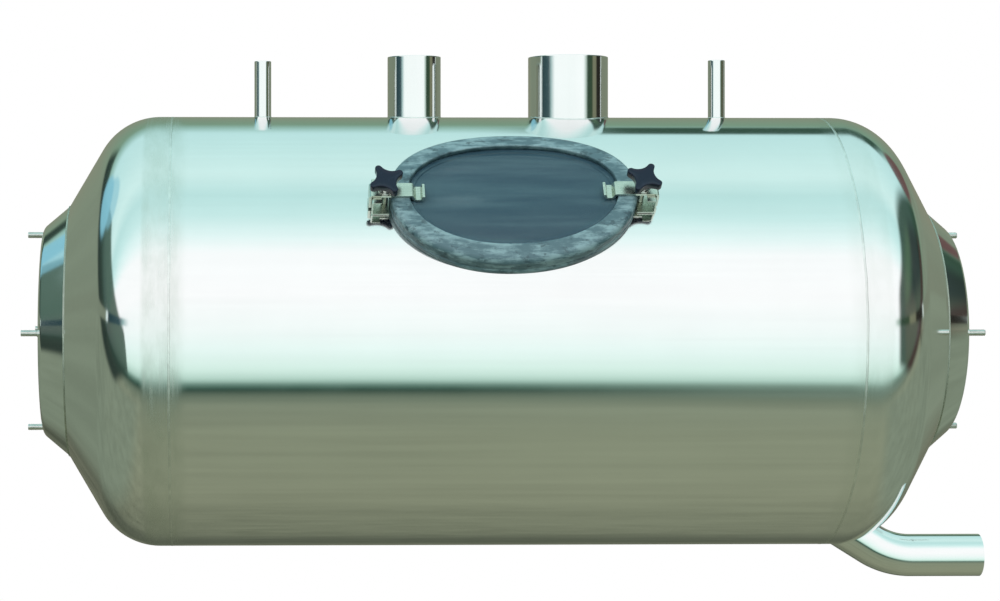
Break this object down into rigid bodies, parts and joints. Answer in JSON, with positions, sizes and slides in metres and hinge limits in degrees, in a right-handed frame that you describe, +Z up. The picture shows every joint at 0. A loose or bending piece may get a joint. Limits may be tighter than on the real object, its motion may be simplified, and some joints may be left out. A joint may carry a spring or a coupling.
{
  "type": "milk receiver vessel",
  "caption": "Horizontal polished stainless milk receiver with coned ends, open top stub pipes, a low swept outlet and an oval hand hole under a strapped, rubber-edged clear lid.",
  "frame": {"origin": "middle of the left end pan's outer flat face, on the vessel's axis", "axes": "+X along the vessel from the left end to the right end, -Y out of the front where the hand hole is, +Z up"},
  "size_m": [0.9127, 0.414, 0.498],
  "materials": {
    "polished_steel": "polished stainless sheet and tube",
    "clamp_steel": "satin stainless strip",
    "seal_rubber": "matt, dusty grey-green",
    "lid_clear": "smoked clear sheet",
    "knob_black": "moulded, slightly glossy edges"
  },
  "bodies": {
    "vessel": {"barrel": "polished_steel", "left_end": "polished_steel", "right_end": "polished_steel", "left_end_pan": "polished_steel", "right_end_pan": "polished_steel", "left_end_stud_top": "polished_steel", "left_end_stud_bottom": "polished_steel", "left_end_stud_front": "polished_steel", "left_end_stud_rear": "polished_steel", "right_end_stud_top": "polished_steel", "right_end_stud_bottom": "polished_steel", "right_end_stud_front": "polished_steel", "right_end_stud_rear": "polished_steel", "wash_pipe": "polished_steel", "milk_inlet_pipe": "polished_steel", "vacuum_pipe": "polished_steel", "probe_pipe": "polished_steel", "outlet_pipe": "polished_steel", "left_bracket": "clamp_steel", "left_clamp_stud": "polished_steel", "right_bracket": "clamp_steel", "right_clamp_stud": "polished_steel"},
    "lid": {"lid_panel": "lid_clear", "lid_seal": "seal_rubber"},
    "left_clamp": {"left_strap": "clamp_steel", "left_washer": "polished_steel"},
    "left_handwheel": {"left_knob": "knob_black", "left_knob_insert": "polished_steel"},
    "right_clamp": {"right_strap": "clamp_steel", "right_washer": "polished_steel"},
    "right_handwheel": {"right_knob": "knob_black", "right_knob_insert": "polished_steel"}
  },
  "joints": [
    {"name": "lid_lift", "type": "slide", "parent": "vessel", "child": "lid", "axis": [0, -0.808, 0.5892], "range_m": [0, 0.12]},
    {"name": "left_strap_rise", "type": "slide", "parent": "lid", "child": "left_clamp", "axis": [0, -0.8161, 0.5779], "range_m": [0, 0.0066]},
    {"name": "left_knob_turn", "type": "hinge", "parent": "left_clamp", "child": "left_handwheel", "pos_m": [0.3139, -0.16649, 0.11788], "axis": [0, -0.8161, 0.5779], "range_deg": [0, 2340]},
    {"name": "right_strap_rise", "type": "slide", "parent": "lid", "child": "right_clamp", "axis": [0, -0.81, 0.5864], "range_m": [0, 0.0066]},
    {"name": "right_knob_turn", "type": "hinge", "parent": "right_clamp", "child": "right_handwheel", "pos_m": [0.5425, -0.16525, 0.11962], "axis": [0, -0.81, 0.5864], "range_deg": [0, 2340]}
  ],
  "couplings": [
    {"joint": "left_strap_rise", "follows": "left_knob_turn", "m_per_rad": 0.00015915},
    {"joint": "right_strap_rise", "follows": "right_knob_turn", "m_per_rad": 0.00015915}
  ]
}
